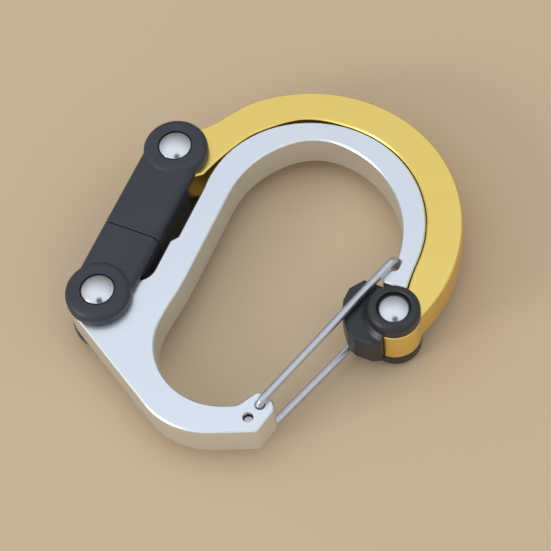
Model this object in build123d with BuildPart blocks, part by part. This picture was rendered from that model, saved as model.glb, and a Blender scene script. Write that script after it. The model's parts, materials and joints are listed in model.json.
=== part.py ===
from build123d import *
import math
import os

# Folding-hook carabiner, lying flat and folded. Units are millimetres.
# Plan coordinates start at the lower rivet: +Y runs along the link to the upper rivet,
# +X points across the loop. level() moves them so that the origin is under the middle
# of the whole part, on the surface that it lies on.

# ---- stack of heights ----
PLATE = 7.6                     # thickness of the frame and hook plates
TOTAL = 15.0                    # over the rivets' crowns and the tip's rings
MIDDLE = TOTAL / 2
PLATE_BOTTOM = MIDDLE - PLATE / 2
PLATE_TOP = MIDDLE + PLATE / 2
PLATE_CHAMFER = 0.28

# ---- pivots, in plan ----
LOWER_PIVOT = (0, 0)
UPPER_PIVOT = (0, 33.7)
TIP_PIVOT = (52.2, 16.0)

# ---- frame ----
LUG_RADIUS = 6.0
LUG_CORNER_RADIUS = 3.6
FOOT_TANGENT = -30              # heading of the straight edge that leaves the lug
FOOT_LENGTH = 23.4
SPINE_OUTER = 8.15              # rebated stretch beside the upper link
SPINE_LOWER_OUTER = 7.1         # full-width stretch beside the lower link
SPINE_INNER = 13.2
LOOP_CENTRE = (29.1, 28.0)
LOOP_OUTER = 22.75
RELIEF_BODY = 8.0               # scoops about the link, so that its upper half can swivel
RELIEF_BOSS = 8.75

# ---- gate ----
WIRE_RADIUS = 0.75
WIRE_GAP = 0.15                 # between a wire and the face that it crosses
WIRE_BEND = 1.0
TOP_LEG = (36.75, -9.45)
BOTTOM_LEG = (35.75, -12.45)
GATE_END = (47.95, 26.3)        # closed end of the wire loop, in the nose's notch
BOTTOM_RUN_KNEE = (45.0, 10.5)
BOTTOM_RUN_END = (38.6, -7.7)
LEG_BORE_RADIUS = 0.83
LEG_MOUTH_RADIUS = 1.0
LEG_MOUTH_DEPTH = 0.5
GATE_SWING = 30                 # degrees that the gate opens inwards
TOP_LEG_END = PLATE_BOTTOM + 1.5
BOTTOM_LEG_END = PLATE_TOP - 1.3

# ---- hook ----
HOOK_EYE_RADIUS = 6.35
HOOK_END_RADIUS = 4.85
HOOK_OUTER = 29.6               # radius of the bar's outer edge about LOOP_CENTRE
HOOK_INNER = 22.95
HOOK_BAR = ((6.75, 31.2), (8.15, 35.35), (10.55, 40.75), (13.95, 45.1), (17.45, 48.15))

# ---- link ----
SPLIT = 13.95                   # the two halves of the link meet here
SPLIT_GAP = 0.2
LINK_HALF_WIDTH = 5.6
LINK_HALF_HEIGHT = 6.1
LINK_EDGE_RADIUS = 1.6
BOSS_RADIUS = 6.2
BOSS_HALF_HEIGHT = 6.5
BOSS_ROUND = 1.3
EAR_SIDE_GAP = 0.12             # each side, between an ear and the plate it straddles
CROTCH_REACH = 6.9              # pivot to the bottom of the fork's slot

# ---- rivets and washers ----
HEAD_RADIUS = 3.05
HEAD_HEIGHT = 1.47
HEAD_RIM = 0.4
RECESS_RADIUS = 3.3
SEAT_HALF = 6.0                 # half the distance between the two head seats in a fork
HEAD_LIFT = 0.03                # under a head, so that the joint is free
BARREL_RADIUS = 1.8
PIN_RADIUS = 1.08
PIN_FIT = 0.02
RUNNING = 0.05                  # radial running clearance
WASHER_RADIUS = 3.6
WASHER_THICKNESS = 0.5
WASHER_GAP = 0.04

# ---- swivel pin ----
SWIVEL_RADIUS = 1.5
SWIVEL_HEAD_RADIUS = 2.5
SWIVEL_HEAD = 1.2
SWIVEL_WASHER = 0.5
SWIVEL_GAP = 0.04
POCKET_RADIUS = 2.9
POCKET_DEPTH = 2.4

# ---- tip ----
TIP_RING_RADIUS = 4.85
TIP_RING_ROUND = 1.3
TIP_RING_INSET = 0.4            # how far the rivet's crown stands proud of the ring
TIP_RECESS_RADIUS = 3.2
TIP_RECESS_ROUND = 0.3
TIP_HEAD_RADIUS = 3.0
TIP_SEAT_HALF = 6.0             # half the distance between the two head seats in the tip
TIP_BLOCK_HALF = 3.5            # half thickness of the block between the gate's wires
TIP_BLOCK_EDGE = 0.35
TIP_SKIRT_RADIUS = 5.8
TIP_SKIRT_HALF = 4.6
TIP_SKIRT_CHAMFER = 1.1
TIP_CAVITY_RADIUS = 5.15

# ---- origin: the middle of the part's plan ----
PLAN_LEFT = -HOOK_EYE_RADIUS
PLAN_RIGHT = 58.7
PLAN_TOP = 57.6
PLAN_BOTTOM = -18.88
CENTRE_X = (PLAN_LEFT + PLAN_RIGHT) / 2
CENTRE_Y = (PLAN_TOP + PLAN_BOTTOM) / 2


def level(z):
    """The plan plane at height z."""
    return Plane(origin=(-CENTRE_X, -CENTRE_Y, z))


def along_link(y):
    """A plane square to the link at plan position y, for turned parts on its axis."""
    return Plane(origin=(-CENTRE_X, y - CENTRE_Y, MIDDLE), x_dir=(1, 0, 0), z_dir=(0, 1, 0))


def direction(angle):
    """The unit vector at an angle in degrees."""
    return (math.cos(math.radians(angle)), math.sin(math.radians(angle)))


def polar(centre, radius, angle):
    """A plan point at a radius and angle from a centre."""
    ux, uy = direction(angle)
    return (centre[0] + radius * ux, centre[1] + radius * uy)


def plate_edges(part):
    """The outlines of a plate's two faces."""
    faces = part.faces().filter_by(Axis.Z)
    outer = [f for f in faces if abs(f.center().Z - PLATE_TOP) < 0.01]
    outer += [f for f in faces if abs(f.center().Z - PLATE_BOTTOM) < 0.01]
    return [e for f in outer for e in f.outer_wire().edges()]


os.makedirs("parts", exist_ok=True)

# ---- frame: an open loop of plate with a lug, a raised head and a notched nose ----
FOOT_START = polar(LOWER_PIVOT, LUG_RADIUS, FOOT_TANGENT - 90)
FOOT_END = polar(FOOT_START, FOOT_LENGTH, FOOT_TANGENT)
CORNER_CENTRE_X = SPINE_LOWER_OUTER - LUG_CORNER_RADIUS
CORNER_CENTRE_Y = math.sqrt((LUG_RADIUS + LUG_CORNER_RADIUS) ** 2 - CORNER_CENTRE_X ** 2)
CORNER_ANGLE = math.degrees(math.atan2(CORNER_CENTRE_Y, CORNER_CENTRE_X))
LUG_TOP = polar(LOWER_PIVOT, LUG_RADIUS, CORNER_ANGLE)

with BuildPart() as carabiner_frame:
    with BuildSketch(level(PLATE_BOTTOM)):
        with BuildLine():
            # foot, from the lug round to the raised head
            foot = Line(FOOT_START, FOOT_END)
            sole = TangentArc(foot @ 1, (30.8, -17.7), tangent=foot % 1)
            toe = Line(sole @ 1, (37.7, -14.75))
            toe_corner = TangentArc(toe @ 1, (38.5, -13.75), tangent=toe % 1)
            end_face = Line(toe_corner @ 1, (39.35, -9.9))
            head = ThreePointArc(end_face @ 1, (38.9, -8.25), (37.6, -7.55))
            head_top = Line(head @ 1, (35.9, -7.2))
            head_corner = TangentArc(head_top @ 1, (34.95, -7.6), tangent=head_top % 1)
            head_side = Line(head_corner @ 1, (33.3, -10.4))
            throat = Spline(
                head_side @ 1, (30.8, -11.9), tangents=(direction(242), direction(203.4))
            )
            floor_a = ThreePointArc(throat @ 1, (25.7, -12.95), (16.3, -9.1))
            floor_b = TangentArc(floor_a @ 1, (12.6, -0.3), tangent=floor_a % 1)
            # inside of the spine and of the loop
            ease_a = TangentArc(floor_b @ 1, (12.9, 5.0), tangent=(0, 1))
            ease_b = TangentArc(ease_a @ 1, (SPINE_INNER, 11.0), tangent=ease_a % 1)
            spine_in = Line(ease_b @ 1, (SPINE_INNER, 29.3))
            loop_a = TangentArc(spine_in @ 1, (20.0, 43.7), tangent=(0, 1))
            loop_b = TangentArc(loop_a @ 1, (28.9, 46.5), tangent=loop_a % 1)
            loop_c = TangentArc(loop_b @ 1, (48.2, 27.3), tangent=loop_b % 1)
            # notch for the gate's closed end, and the lip under it
            notch_top = Line(loop_c @ 1, (48.8, 27.1))
            notch_turn = TangentArc(notch_top @ 1, (49.15, 26.5), tangent=notch_top % 1)
            notch_wall = Line(notch_turn @ 1, (49.15, 25.6))
            notch_heel = TangentArc(notch_wall @ 1, (48.4, 24.75), tangent=(0, -1))
            lip_top = Line(notch_heel @ 1, (47.6, 24.2))
            lip_slope = Line(lip_top @ 1, (47.0, 23.4))
            lip = Line(lip_slope @ 1, (47.0, 22.4))
            lip_turn = Line(lip @ 1, (47.7, 21.7))
            nose = Line(lip_turn @ 1, (52.25, 21.7))
            nose_side = ThreePointArc(nose @ 1, (51.94, 25.0), polar(LOOP_CENTRE, LOOP_OUTER, 0))
            # outside of the loop and of the spine
            back_c = ThreePointArc(
                nose_side @ 1, polar(LOOP_CENTRE, LOOP_OUTER, 45), polar(LOOP_CENTRE, LOOP_OUTER, 90)
            )
            back_b = TangentArc(back_c @ 1, (17.8, 47.7), tangent=(-1, 0))
            back_a = TangentArc(back_b @ 1, (SPINE_OUTER, 28.5), tangent=back_b % 1)
            spine_up = Line(back_a @ 1, (SPINE_OUTER, 16.9))
            step = Line(spine_up @ 1, (SPINE_LOWER_OUTER, 15.5))
            spine_low = Line(step @ 1, (SPINE_LOWER_OUTER, CORNER_CENTRE_Y))
            lug_corner = TangentArc(spine_low @ 1, LUG_TOP, tangent=(0, -1))
            lug = ThreePointArc(lug_corner @ 1, polar(LOWER_PIVOT, LUG_RADIUS, 150), foot @ 0)
        make_face()
    extrude(amount=PLATE)
    chamfer(plate_edges(carabiner_frame.part), PLATE_CHAMFER)
    # bore for the rivet's barrel
    with BuildSketch(level(PLATE_BOTTOM)):
        with Locations(LOWER_PIVOT):
            Circle(BARREL_RADIUS + RUNNING)
    extrude(amount=PLATE, mode=Mode.SUBTRACT)
    # the gate's upper leg hole, with a countersunk mouth
    with BuildSketch(level(TOP_LEG_END - 0.3)):
        with Locations(TOP_LEG):
            Circle(LEG_BORE_RADIUS)
    extrude(amount=PLATE_TOP - TOP_LEG_END + 0.3, mode=Mode.SUBTRACT)
    with BuildSketch(level(PLATE_TOP - LEG_MOUTH_DEPTH)):
        with Locations(TOP_LEG):
            Circle(LEG_MOUTH_RADIUS)
    extrude(amount=LEG_MOUTH_DEPTH, mode=Mode.SUBTRACT)
    # the lower leg's curved slot from below, about the upper leg, and its round mouth on top
    LEG_ARM = math.hypot(BOTTOM_LEG[0] - TOP_LEG[0], BOTTOM_LEG[1] - TOP_LEG[1])
    LEG_ANGLE = math.degrees(
        math.atan2(BOTTOM_LEG[1] - TOP_LEG[1], BOTTOM_LEG[0] - TOP_LEG[0])
    )
    LEG_OPEN_ANGLE = LEG_ANGLE + GATE_SWING
    SLOT_OUTER = LEG_ARM + LEG_BORE_RADIUS
    SLOT_INNER = LEG_ARM - LEG_BORE_RADIUS
    OPEN_LEG = polar(TOP_LEG, LEG_ARM, LEG_OPEN_ANGLE)
    with BuildSketch(level(PLATE_BOTTOM)):
        with BuildLine():
            slot_far = ThreePointArc(
                polar(TOP_LEG, SLOT_OUTER, LEG_ANGLE),
                polar(TOP_LEG, SLOT_OUTER, LEG_ANGLE + GATE_SWING / 2),
                polar(TOP_LEG, SLOT_OUTER, LEG_OPEN_ANGLE),
            )
            slot_open = ThreePointArc(
                slot_far @ 1,
                polar(OPEN_LEG, LEG_BORE_RADIUS, LEG_OPEN_ANGLE + 90),
                polar(TOP_LEG, SLOT_INNER, LEG_OPEN_ANGLE),
            )
            slot_near = ThreePointArc(
                slot_open @ 1,
                polar(TOP_LEG, SLOT_INNER, LEG_ANGLE + GATE_SWING / 2),
                polar(TOP_LEG, SLOT_INNER, LEG_ANGLE),
            )
            slot_shut = ThreePointArc(
                slot_near @ 1, polar(BOTTOM_LEG, LEG_BORE_RADIUS, LEG_ANGLE - 90), slot_far @ 0
            )
        make_face()
    extrude(amount=BOTTOM_LEG_END + 0.15 - PLATE_BOTTOM, mode=Mode.SUBTRACT)
    with BuildSketch(level(PLATE_BOTTOM)):
        with Locations(BOTTOM_LEG):
            Circle(LEG_MOUTH_RADIUS)
    extrude(amount=PLATE, mode=Mode.SUBTRACT)
    # scoops in the spine's outer side, round the link's axis
    with BuildSketch(along_link(SPLIT - SPLIT_GAP)):
        Circle(RELIEF_BODY)
    extrude(amount=27.0 - SPLIT + SPLIT_GAP, mode=Mode.SUBTRACT)
    with BuildSketch(along_link(27.0)):
        Circle(RELIEF_BOSS)
    extrude(amount=13.5, mode=Mode.SUBTRACT)
    # a flared scoop above them, which the corners of the hook's inner side sweep through
    with BuildSketch(level(MIDDLE)):
        with BuildLine():
            flare = Spline(*[(math.hypot(x, PLATE / 2) + RUNNING, y) for x, y in HOOK_BAR])
            flare_top = Line(flare @ 1, (0, HOOK_BAR[-1][1]))
            flare_axis = Line(flare_top @ 1, (0, HOOK_BAR[0][1]))
            flare_base = Line(flare_axis @ 1, flare @ 0)
        make_face()
    revolve(axis=Axis((-CENTRE_X, -CENTRE_Y, MIDDLE), (0, 1, 0)), mode=Mode.SUBTRACT)
carabiner_frame.part.label = "carabiner_frame"
export_step(carabiner_frame.part, "parts/carabiner_frame.step")

# ---- gate: one bent wire, its two legs in the head's offset holes ----
WIRE_TOP = PLATE_TOP + WIRE_GAP + WIRE_RADIUS
WIRE_BOTTOM = PLATE_BOTTOM - WIRE_GAP - WIRE_RADIUS
with BuildPart() as gate_wire:
    with BuildLine(level(0)) as wire_path:
        FilletPolyline(
            (*TOP_LEG, TOP_LEG_END),
            (*TOP_LEG, WIRE_TOP),
            (*GATE_END, WIRE_TOP),
            (*GATE_END, WIRE_BOTTOM),
            (*BOTTOM_RUN_KNEE, WIRE_BOTTOM),
            (*BOTTOM_RUN_END, WIRE_BOTTOM),
            (*BOTTOM_LEG, WIRE_BOTTOM),
            (*BOTTOM_LEG, BOTTOM_LEG_END),
            radius=WIRE_BEND,
        )
    with BuildSketch(level(TOP_LEG_END)):
        with Locations(TOP_LEG):
            Circle(WIRE_RADIUS)
    sweep(path=wire_path.line)
gate_wire.part.label = "gate_wire"
export_step(gate_wire.part, "parts/gate_wire.step")

# ---- hook: a plate that wraps round the frame, with an eye at one end ----
with BuildPart() as hook:
    with BuildSketch(level(PLATE_BOTTOM)):
        with BuildLine():
            bar_out = ThreePointArc(
                polar(LOOP_CENTRE, HOOK_OUTER, -22),
                polar(LOOP_CENTRE, HOOK_OUTER, 60),
                polar(LOOP_CENTRE, HOOK_OUTER, 130),
            )
            neck = Spline(
                bar_out @ 1, (7.3, 47.7), (5.3, 44.6), (3.4, 41.9), polar(UPPER_PIVOT, HOOK_EYE_RADIUS, 90),
                tangents=(direction(220), direction(180)),
            )
            eye = ThreePointArc(
                neck @ 1,
                polar(UPPER_PIVOT, HOOK_EYE_RADIUS, 180),
                polar(UPPER_PIVOT, HOOK_EYE_RADIUS, -36),
            )
            heel = Line(eye @ 1, HOOK_BAR[0])
            bar_a = ThreePointArc(*HOOK_BAR[:3])
            bar_b = Spline(
                *HOOK_BAR[2:], polar(LOOP_CENTRE, HOOK_INNER, 90),
                tangents=(bar_a % 1, (1, 0)),
            )
            bar_c = ThreePointArc(
                bar_b @ 1, polar(LOOP_CENTRE, HOOK_INNER, 45), polar(LOOP_CENTRE, HOOK_INNER, 0)
            )
            bar_d = TangentArc(bar_c @ 1, (52.55, 21.7), tangent=(0, -1))
            bar_e = Line(bar_d @ 1, (52.55, 17.0))
            bar_end = Line(bar_e @ 1, bar_out @ 0)
        make_face()
        with Locations(TIP_PIVOT):
            Circle(HOOK_END_RADIUS)
        with Locations(UPPER_PIVOT, TIP_PIVOT):
            Circle(BARREL_RADIUS + RUNNING, mode=Mode.SUBTRACT)
    extrude(amount=PLATE)
    chamfer(plate_edges(hook.part), PLATE_CHAMFER)
hook.part.label = "hook"
export_step(hook.part, "parts/hook.step")


def fork(name, pivot, side):
    """One half of the link: a fork with round bosses, its body towards the other half."""
    px, py = pivot
    split = SPLIT - side * SPLIT_GAP / 2
    crotch = py + side * CROTCH_REACH
    slot_half = PLATE / 2 + EAR_SIDE_GAP
    with BuildPart() as piece:
        # round boss with soft rims
        with BuildSketch(level(MIDDLE - BOSS_HALF_HEIGHT)):
            with Locations(pivot):
                Circle(BOSS_RADIUS)
        extrude(amount=2 * BOSS_HALF_HEIGHT)
        fillet(piece.part.edges().filter_by(GeomType.CIRCLE), BOSS_ROUND)
        # body with rounded long edges
        with BuildSketch(along_link(py)):
            RectangleRounded(2 * LINK_HALF_WIDTH, 2 * LINK_HALF_HEIGHT, LINK_EDGE_RADIUS)
        extrude(amount=split - py)
        # fork slot
        with BuildSketch(level(MIDDLE - slot_half)):
            with Locations((px, crotch - side * 10)):
                Rectangle(30, 20)
        extrude(amount=2 * slot_half, mode=Mode.SUBTRACT)
        # rivet bore, head recesses and washer seats
        with BuildSketch(level(0)):
            with Locations(pivot):
                Circle(BARREL_RADIUS + PIN_FIT)
        extrude(amount=TOTAL, mode=Mode.SUBTRACT)
        for z in (0, MIDDLE + SEAT_HALF):
            with BuildSketch(level(z)):
                with Locations(pivot):
                    Circle(RECESS_RADIUS)
            extrude(amount=MIDDLE - SEAT_HALF, mode=Mode.SUBTRACT)
        seat_half = PLATE / 2 + 2 * WASHER_GAP + WASHER_THICKNESS
        with BuildSketch(level(MIDDLE - seat_half)):
            with Locations(pivot):
                Circle(WASHER_RADIUS + RUNNING)
        extrude(amount=2 * seat_half, mode=Mode.SUBTRACT)
        # swivel bore, with a pocket for a head at the bottom of the slot
        with BuildSketch(along_link(crotch - side * 0.5)):
            Circle(SWIVEL_RADIUS + RUNNING)
        extrude(amount=split - crotch + side, mode=Mode.SUBTRACT)
        with BuildSketch(along_link(crotch - side * 0.5)):
            Circle(POCKET_RADIUS)
        extrude(amount=side * (POCKET_DEPTH + 0.5), mode=Mode.SUBTRACT)
    piece.part.label = name
    export_step(piece.part, f"parts/{name}.step")


fork("lower_link", LOWER_PIVOT, 1)
fork("upper_link", UPPER_PIVOT, -1)


def head_profile(pivot, radius, face, side):
    """Half section of a low domed head on a recess floor at height face, towards side."""
    crown = HEAD_HEIGHT - HEAD_RIM
    ball = (radius * radius + crown * crown) / (2 * crown)
    half = math.asin(radius / ball) / 2
    x0 = pivot[0] - CENTRE_X
    base = face + side * HEAD_LIFT
    knee_z = base + side * (HEAD_HEIGHT - ball * (1 - math.cos(half)))
    with BuildSketch(Plane.XZ.offset(CENTRE_Y - pivot[1])) as profile:
        with BuildLine():
            under = Line((x0, base), (x0 + radius, base))
            rim = Line(under @ 1, (x0 + radius, base + side * HEAD_RIM))
            dome = ThreePointArc(
                rim @ 1, (x0 + ball * math.sin(half), knee_z), (x0, base + side * HEAD_HEIGHT)
            )
            Line(dome @ 1, under @ 0)
        make_face()
    return profile.sketch


def rivet(prefix, pivot, radius, seat):
    """A two-part rivet: a tube with a head below, and a pin with a head above."""
    centre_line = Axis((pivot[0] - CENTRE_X, pivot[1] - CENTRE_Y, 0), (0, 0, 1))
    with BuildPart() as barrel:
        revolve(head_profile(pivot, radius, MIDDLE - seat, -1), axis=centre_line)
        with BuildSketch(level(MIDDLE - seat - HEAD_LIFT)):
            with Locations(pivot):
                Circle(BARREL_RADIUS)
        extrude(amount=2 * seat)
        with BuildSketch(level(MIDDLE - seat)):
            with Locations(pivot):
                Circle(PIN_RADIUS + PIN_FIT)
        extrude(amount=2 * seat, mode=Mode.SUBTRACT)
    barrel.part.label = prefix + "_rivet_barrel"
    export_step(barrel.part, f"parts/{prefix}_rivet_barrel.step")

    with BuildPart() as pin:
        revolve(head_profile(pivot, radius, MIDDLE + seat, 1), axis=centre_line)
        with BuildSketch(level(MIDDLE - seat + 0.4)):
            with Locations(pivot):
                Circle(PIN_RADIUS)
        extrude(amount=2 * seat - 0.4 + HEAD_LIFT)
    pin.part.label = prefix + "_rivet_pin"
    export_step(pin.part, f"parts/{prefix}_rivet_pin.step")


rivet("lower", LOWER_PIVOT, HEAD_RADIUS, SEAT_HALF)
rivet("upper", UPPER_PIVOT, HEAD_RADIUS, SEAT_HALF)
rivet("tip", TIP_PIVOT, TIP_HEAD_RADIUS, TIP_SEAT_HALF)

# ---- friction washers between each fork's ears and the plate in its slot ----
for prefix, pivot in (("lower", LOWER_PIVOT), ("upper", UPPER_PIVOT)):
    for place, z in (
        ("top", PLATE_TOP + WASHER_GAP),
        ("bottom", PLATE_BOTTOM - WASHER_GAP - WASHER_THICKNESS),
    ):
        with BuildPart() as washer:
            with BuildSketch(level(z)):
                with Locations(pivot):
                    Circle(WASHER_RADIUS)
                    Circle(BARREL_RADIUS + RUNNING, mode=Mode.SUBTRACT)
            extrude(amount=WASHER_THICKNESS)
        washer.part.label = f"{prefix}_washer_{place}"
        export_step(washer.part, f"parts/{prefix}_washer_{place}.step")

# ---- swivel pin, its washers and its retaining collar ----
SEAT_LOWER = CROTCH_REACH + POCKET_DEPTH
SEAT_UPPER = UPPER_PIVOT[1] - CROTCH_REACH - POCKET_DEPTH
HEAD_FACE_LOWER = SEAT_LOWER - 2 * SWIVEL_GAP - SWIVEL_WASHER
HEAD_FACE_UPPER = SEAT_UPPER + 2 * SWIVEL_GAP + SWIVEL_WASHER
with BuildPart() as swivel_pin:
    with BuildSketch(along_link(HEAD_FACE_LOWER - SWIVEL_HEAD)):
        Circle(SWIVEL_HEAD_RADIUS)
    extrude(amount=SWIVEL_HEAD)
    with BuildSketch(along_link(HEAD_FACE_LOWER)):
        Circle(SWIVEL_RADIUS)
    extrude(amount=HEAD_FACE_UPPER + SWIVEL_HEAD - HEAD_FACE_LOWER)
swivel_pin.part.label = "swivel_pin"
export_step(swivel_pin.part, "parts/swivel_pin.step")

with BuildPart() as swivel_collar:
    with BuildSketch(along_link(HEAD_FACE_UPPER)):
        Circle(SWIVEL_HEAD_RADIUS)
        Circle(SWIVEL_RADIUS + PIN_FIT, mode=Mode.SUBTRACT)
    extrude(amount=SWIVEL_HEAD)
swivel_collar.part.label = "swivel_collar"
export_step(swivel_collar.part, "parts/swivel_collar.step")

for place, y in (
    ("lower", HEAD_FACE_LOWER + SWIVEL_GAP),
    ("upper", HEAD_FACE_UPPER - SWIVEL_GAP - SWIVEL_WASHER),
):
    with BuildPart() as swivel_washer:
        with BuildSketch(along_link(y)):
            Circle(SWIVEL_HEAD_RADIUS + 0.1)
            Circle(SWIVEL_RADIUS + RUNNING, mode=Mode.SUBTRACT)
        extrude(amount=SWIVEL_WASHER)
    swivel_washer.part.label = f"swivel_washer_{place}"
    export_step(swivel_washer.part, f"parts/swivel_washer_{place}.step")

# ---- tip: two round ears over the hook's end, and a block that fills the gate's mouth ----
EAR_BASE = PLATE / 2 + EAR_SIDE_GAP
with BuildPart() as rubber_tip:
    # round ears
    for z in (TIP_RING_INSET, MIDDLE + EAR_BASE):
        with BuildSketch(level(z)):
            with Locations(TIP_PIVOT):
                Circle(TIP_RING_RADIUS)
        extrude(amount=MIDDLE - EAR_BASE - TIP_RING_INSET)
    ends = [e for e in rubber_tip.part.edges().filter_by(GeomType.CIRCLE)
            if e.center().Z < TIP_RING_INSET + 0.01 or e.center().Z > TOTAL - TIP_RING_INSET - 0.01]
    fillet(ends, TIP_RING_ROUND)
    # skirt that joins the ears on the gate's side
    with BuildPart(mode=Mode.PRIVATE) as skirt:
        with BuildSketch(level(MIDDLE - TIP_SKIRT_HALF)):
            with Locations(TIP_PIVOT):
                Circle(TIP_SKIRT_RADIUS)
        extrude(amount=2 * TIP_SKIRT_HALF)
        chamfer(skirt.part.edges().filter_by(GeomType.CIRCLE), TIP_SKIRT_CHAMFER)
        with BuildSketch(level(0)):
            with BuildLine():
                Polyline(
                    TIP_PIVOT,
                    polar(TIP_PIVOT, 20, 150),
                    polar(TIP_PIVOT, 20, 200),
                    polar(TIP_PIVOT, 20, 268),
                    close=True,
                )
            make_face()
        extrude(amount=TOTAL, mode=Mode.INTERSECT)
    add(skirt.part)
    # block between the gate's wires, with soft corners and edges
    with BuildPart(mode=Mode.PRIVATE) as block:
        with BuildSketch(level(MIDDLE - TIP_BLOCK_HALF)) as block_plan:
            with BuildLine():
                Polyline(
                    (49.8, 19.6), (48.7, 20.95), (44.2, 21.05), (42.3, 18.5), (42.2, 15.8),
                    (43.1, 13.0), (45.5, 9.9), (47.1, 9.1), (50.3, 9.05), (52.0, 10.0),
                    (52.0, 16.0), (49.8, 16.0),
                    close=True,
                )
            make_face()
            corners = [v for v in block_plan.vertices() if v.X + CENTRE_X < 49.0]
            fillet(corners, 0.9)
        extrude(amount=2 * TIP_BLOCK_HALF)
        rim = [e for e in block.part.edges()
               if abs(abs(e.center().Z - MIDDLE) - TIP_BLOCK_HALF) < 0.01
               and e.center().X + CENTRE_X < 50.5 and not
               (e.center().X + CENTRE_X > 49 and 12 < e.center().Y + CENTRE_Y < 20.2)]
        fillet(rim, TIP_BLOCK_EDGE)
    add(block.part)
    # cavity for the hook's end
    with BuildSketch(level(PLATE_BOTTOM - EAR_SIDE_GAP)):
        with Locations(TIP_PIVOT):
            Circle(TIP_CAVITY_RADIUS)
    extrude(amount=PLATE + 2 * EAR_SIDE_GAP, mode=Mode.SUBTRACT)
    # bore and head recesses with soft rims
    with BuildSketch(level(0)):
        with Locations(TIP_PIVOT):
            Circle(BARREL_RADIUS + PIN_FIT)
    extrude(amount=TOTAL, mode=Mode.SUBTRACT)
    for z in (0, MIDDLE + TIP_SEAT_HALF):
        with BuildSketch(level(z)):
            with Locations(TIP_PIVOT):
                Circle(TIP_RECESS_RADIUS)
        extrude(amount=MIDDLE - TIP_SEAT_HALF, mode=Mode.SUBTRACT)
    mouths = [e for e in rubber_tip.part.edges().filter_by(GeomType.CIRCLE)
              if abs(e.radius - TIP_RECESS_RADIUS) < 0.01
              and (e.center().Z < TIP_RING_INSET + 0.01 or e.center().Z > TOTAL - TIP_RING_INSET - 0.01)]
    fillet(mouths, TIP_RECESS_ROUND)
rubber_tip.part.label = "rubber_tip"
export_step(rubber_tip.part, "parts/rubber_tip.step")
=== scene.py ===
import json
import math

import bpy
from mathutils import Matrix, Vector

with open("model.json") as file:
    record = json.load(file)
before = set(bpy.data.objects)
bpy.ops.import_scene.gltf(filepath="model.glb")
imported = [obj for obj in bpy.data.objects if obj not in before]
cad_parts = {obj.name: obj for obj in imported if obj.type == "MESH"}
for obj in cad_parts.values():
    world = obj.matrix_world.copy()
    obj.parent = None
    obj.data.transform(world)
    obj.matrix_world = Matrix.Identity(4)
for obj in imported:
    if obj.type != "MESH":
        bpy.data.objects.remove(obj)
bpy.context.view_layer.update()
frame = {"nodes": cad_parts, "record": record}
MM = 0.001

# ---------------------------------------------------------------- camera
AIM = Vector((2.52, -3.58, 11.3)) * MM      # point of the plates' top plane in mid view
HEADING = 32.04                             # degrees from +Y towards -X
ELEVATION = 60.0
ROLL = -9.5
DISTANCE = 368.7 * MM
LENS = 130.7

# ---------------------------------------------------------------- light
SKY = [                                     # colours by the height of the direction
    (0.0, (0.30, 0.26, 0.22)),
    (0.12, (0.50, 0.48, 0.46)),
    (0.45, (0.62, 0.66, 0.72)),
    (0.85, (0.80, 0.86, 0.94)),
]
SKY_STRENGTH = 1.16
FAR_SIDE = (-0.20, 0.98, 0.0)               # the side of the sky that is less bright
NEAR_SHARE = 1.12                           # brightness on the near and the far side
FAR_SHARE = 0.60
FAR_FULL = 0.95                             # cosine at which the far share is reached
CARD_DIRECTION = (0.290, -0.505, 0.813)     # from the object to just below the camera
CARD_EDGE = 0.962                           # cosines of the card's outer and inner rims
CARD_CORE = 0.984
CARD_SHARE = 0.12                           # of the sky's light that the card leaves
WINDOW_PLACE = (-0.55, -0.78, 0.40)
WINDOW_WIDTH = 0.30
WINDOW_HEIGHT = 0.26
WINDOW_POWER = 2.9                          # watts
WINDOW_COLOUR = (1.0, 0.99, 0.97)
FLOOR_HALF = 3.0


def make_camera():
    """A long lens looking down at 60 degrees, slightly rolled."""
    heading, elevation, roll = map(math.radians, (HEADING, ELEVATION, ROLL))
    forward = Vector((
        -math.sin(heading) * math.cos(elevation),
        math.cos(heading) * math.cos(elevation),
        -math.sin(elevation),
    ))
    level = Vector((math.cos(heading), math.sin(heading), 0))
    upright = level.cross(forward)
    right = math.cos(roll) * level + math.sin(roll) * upright
    up = -math.sin(roll) * level + math.cos(roll) * upright
    data = bpy.data.cameras.new("camera")
    data.lens = LENS
    data.clip_start = 0.01
    data.clip_end = 20
    camera = bpy.data.objects.new("camera", data)
    turn = Matrix((right, up, -forward)).transposed().to_4x4()
    camera.matrix_world = Matrix.Translation(AIM - forward * DISTANCE) @ turn
    bpy.context.scene.collection.objects.link(camera)
    bpy.context.scene.camera = camera


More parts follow.
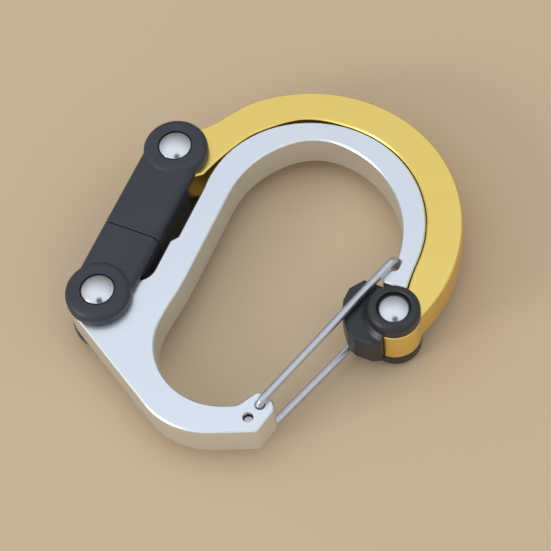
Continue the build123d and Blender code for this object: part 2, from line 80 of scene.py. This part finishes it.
# ---------------------------------------------------------------- node helpers
class Nodes:
    """A short way to add and join shader nodes in one tree."""

    def __init__(self, tree):
        self.tree = tree

    def add(self, kind, inputs=None, **settings):
        node = self.tree.nodes.new(kind)
        for key, value in settings.items():
            setattr(node, key, value)
        for key, value in (inputs or {}).items():
            if isinstance(value, bpy.types.NodeSocket):
                self.tree.links.new(value, node.inputs[key])
            else:
                node.inputs[key].default_value = value
        return node

    def ramp(self, factor, stops):
        """A colour ramp from (position, colour) stops."""
        node = self.add("ShaderNodeValToRGB", {"Fac": factor})
        elements = node.color_ramp.elements
        while len(elements) < len(stops):
            elements.new(0.5)
        for element, (position, colour) in zip(elements, stops):
            element.position = position
            element.color = (*colour, 1)
        return node.outputs["Color"]

    def noise(self, vector, scale, detail=2.0, roughness=0.5):
        node = self.add(
            "ShaderNodeTexNoise",
            {"Vector": vector, "Scale": scale, "Detail": detail, "Roughness": roughness},
        )
        return node.outputs["Fac"]

    def span(self, value, low, high, from_low=0.0, from_high=1.0):
        """Maps a value from one range to another."""
        node = self.add(
            "ShaderNodeMapRange",
            {"Value": value, "From Min": from_low, "From Max": from_high,
             "To Min": low, "To Max": high},
        )
        return node.outputs["Result"]

    def bump(self, height, strength, distance, normal=None):
        inputs = {"Height": height, "Strength": strength, "Distance": distance}
        if normal is not None:
            inputs["Normal"] = normal
        return self.add("ShaderNodeBump", inputs).outputs["Normal"]


def new_material(name):
    """A material with its Principled shader, and the object-space position."""
    material = bpy.data.materials.new(name)
    material.use_nodes = True
    tree = material.node_tree
    tree.nodes.clear()
    kit = Nodes(tree)
    shader = kit.add("ShaderNodeBsdfPrincipled")
    output = kit.add("ShaderNodeOutputMaterial")
    tree.links.new(shader.outputs["BSDF"], output.inputs["Surface"])
    place = kit.add("ShaderNodeTexCoord").outputs["Object"]
    return material, kit, shader, place


def link(kit, value, shader, socket):
    kit.tree.links.new(value, shader.inputs[socket])


# ---------------------------------------------------------------- materials
EDGE_RADIUS = 0.00014                       # how far light rolls over a machined edge
SOFT_EDGE_RADIUS = 0.0003                   # the same for moulded parts


def rounded_normal(kit, radius):
    """The surface normal, rolled over at sharp edges."""
    return kit.add("ShaderNodeBevel", {"Radius": radius}, samples=6).outputs["Normal"]


def anodised(name, light, dark, roughness):
    """Bead-blasted, anodised aluminium: an even satin with a very fine grain."""
    material, kit, shader, place = new_material(name)
    cloud = kit.noise(place, 70, 3)
    grain = kit.noise(place, 6500, 2)
    mix = kit.add("ShaderNodeMath", {0: kit.span(grain, -0.2, 0.2), 1: cloud}, operation="ADD")
    tone = kit.ramp(mix.outputs[0], [(0.25, dark), (0.75, light)])
    link(kit, tone, shader, "Base Color")
    link(kit, kit.span(cloud, roughness - 0.025, roughness + 0.025), shader, "Roughness")
    edge = rounded_normal(kit, EDGE_RADIUS)
    link(kit, kit.bump(grain, 0.10, 0.00002, edge), shader, "Normal")
    shader.inputs["Metallic"].default_value = 1.0
    return material


def moulded(name, light, dark, roughness, grain_scale):
    """Black polymer with a fine moulded texture."""
    material, kit, shader, place = new_material(name)
    cloud = kit.noise(place, 160, 3)
    grain = kit.noise(place, grain_scale, 3, 0.6)
    tone = kit.ramp(cloud, [(0.3, dark), (0.7, light)])
    link(kit, tone, shader, "Base Color")
    link(kit, kit.span(grain, roughness - 0.05, roughness + 0.05, 0.3, 0.7), shader, "Roughness")
    edge = rounded_normal(kit, SOFT_EDGE_RADIUS)
    link(kit, kit.bump(grain, 0.22, 0.00003, edge), shader, "Normal")
    return material


def polished(name, colour, roughness, scuff_depth):
    """Tumbled and polished steel with faint scuffs."""
    material, kit, shader, place = new_material(name)
    scuff = kit.noise(place, 900, 5, 0.65)
    worn = [c * 0.94 for c in colour]
    link(kit, kit.ramp(scuff, [(0.3, worn), (0.7, colour)]), shader, "Base Color")
    link(kit, kit.span(scuff, roughness * 0.8, roughness * 1.3, 0.3, 0.7), shader, "Roughness")
    edge = rounded_normal(kit, EDGE_RADIUS)
    link(kit, kit.bump(kit.noise(place, 420, 3), scuff_depth, 0.00006, edge), shader, "Normal")
    shader.inputs["Metallic"].default_value = 1.0
    return material


def plain_polymer(name, colour, roughness):
    """A natural acetal with a slight cloud in it."""
    material, kit, shader, place = new_material(name)
    cloud = kit.noise(place, 300, 3)
    deep = [c * 0.92 for c in colour]
    link(kit, kit.ramp(cloud, [(0.3, deep), (0.7, colour)]), shader, "Base Color")
    shader.inputs["Roughness"].default_value = roughness
    return material


def floor_material():
    """Plain pale board, warm in tone."""
    material, kit, shader, place = new_material("floor")
    cloud = kit.noise(place, 6, 3)
    tone = kit.ramp(cloud, [(0.2, (0.60, 0.45, 0.285)), (0.8, (0.62, 0.47, 0.30))])
    link(kit, tone, shader, "Base Color")
    shader.inputs["Roughness"].default_value = 0.85
    return material


MATERIALS = {
    "silver_aluminium": anodised("silver_anodised", (0.845, 0.87, 0.895), (0.815, 0.84, 0.87), 0.33),
    "gold_aluminium": anodised("gold_anodised", (1.0, 0.735, 0.21), (0.98, 0.705, 0.195), 0.31),
    "black_polymer": moulded("black_satin", (0.031, 0.034, 0.044), (0.025, 0.027, 0.035), 0.44, 3600),
    "black_rubber": moulded("black_rubber", (0.023, 0.024, 0.030), (0.018, 0.019, 0.024), 0.38, 3000),
    "polished_steel": polished("rivet_steel", (0.70, 0.70, 0.72), 0.18, 0.10),
    "wire_steel": polished("wire_steel", (0.60, 0.61, 0.64), 0.34, 0.12),
    "pin_steel": polished("pin_steel", (0.55, 0.55, 0.56), 0.30, 0.12),
    "washer_polymer": plain_polymer("washer_acetal", (0.80, 0.80, 0.76), 0.35),
}


def finish_nodes():
    """Gives every CAD node the material of its slot."""
    slots = {row["node"]: row["material_slot"] for row in frame["record"]["subparts"]}
    for name, node in frame["nodes"].items():
        node.data.materials.clear()
        node.data.materials.append(MATERIALS[slots[name]])


# ---------------------------------------------------------------- stage
def add_window():
    """One soft light, low and to the left of the view, turned to the middle of the object."""
    data = bpy.data.lights.new("window", "AREA")
    data.shape = "RECTANGLE"
    data.size = WINDOW_WIDTH
    data.size_y = WINDOW_HEIGHT
    data.energy = WINDOW_POWER
    data.color = WINDOW_COLOUR
    light = bpy.data.objects.new("window", data)
    light.location = WINDOW_PLACE
    light.rotation_mode = "QUATERNION"
    to_object = Vector((0, 0, 10 * MM)) - Vector(WINDOW_PLACE)
    light.rotation_quaternion = to_object.to_track_quat("-Z", "Y")
    bpy.context.scene.collection.objects.link(light)


def make_stage():
    """The floor, a soft graded sky and one window light."""
    mesh = bpy.data.meshes.new("floor")
    corners = [(-1, -1), (1, -1), (1, 1), (-1, 1)]
    mesh.from_pydata([(x * FLOOR_HALF, y * FLOOR_HALF, 0) for x, y in corners], [], [(0, 1, 2, 3)])
    floor = bpy.data.objects.new("floor", mesh)
    mesh.materials.append(floor_material())
    bpy.context.scene.collection.objects.link(floor)

    world = bpy.data.worlds.new("soft_studio")
    bpy.context.scene.world = world
    world.use_nodes = True
    world.node_tree.nodes.clear()
    kit = Nodes(world.node_tree)
    way = kit.add("ShaderNodeTexCoord").outputs["Generated"]
    height = kit.add("ShaderNodeSeparateXYZ", {"Vector": way}).outputs["Z"]
    sky = kit.ramp(height, SKY)
    # the sky falls off away from the window, so that the polished domes are graded
    far = kit.add(
        "ShaderNodeVectorMath", {0: way, 1: FAR_SIDE}, operation="DOT_PRODUCT"
    ).outputs["Value"]
    fall = kit.span(far, NEAR_SHARE, FAR_SHARE, 0.0, FAR_FULL)
    # a dark card by the camera, which shows as a small mark in each polished dome
    facing = kit.add(
        "ShaderNodeVectorMath", {0: way, 1: CARD_DIRECTION}, operation="DOT_PRODUCT"
    ).outputs["Value"]
    card = kit.span(facing, 1.0, CARD_SHARE, CARD_EDGE, CARD_CORE)
    dim = kit.add("ShaderNodeMath", {0: card, 1: fall}, operation="MULTIPLY").outputs[0]
    tinted = kit.add("ShaderNodeVectorMath", {0: sky, "Scale": dim}, operation="SCALE")
    back = kit.add("ShaderNodeBackground", {"Color": tinted.outputs["Vector"], "Strength": SKY_STRENGTH})
    out = kit.add("ShaderNodeOutputWorld")
    world.node_tree.links.new(back.outputs[0], out.inputs["Surface"])

    add_window()


make_camera()
make_stage()
finish_nodes()
bpy.context.scene.view_settings.view_transform = "Standard"
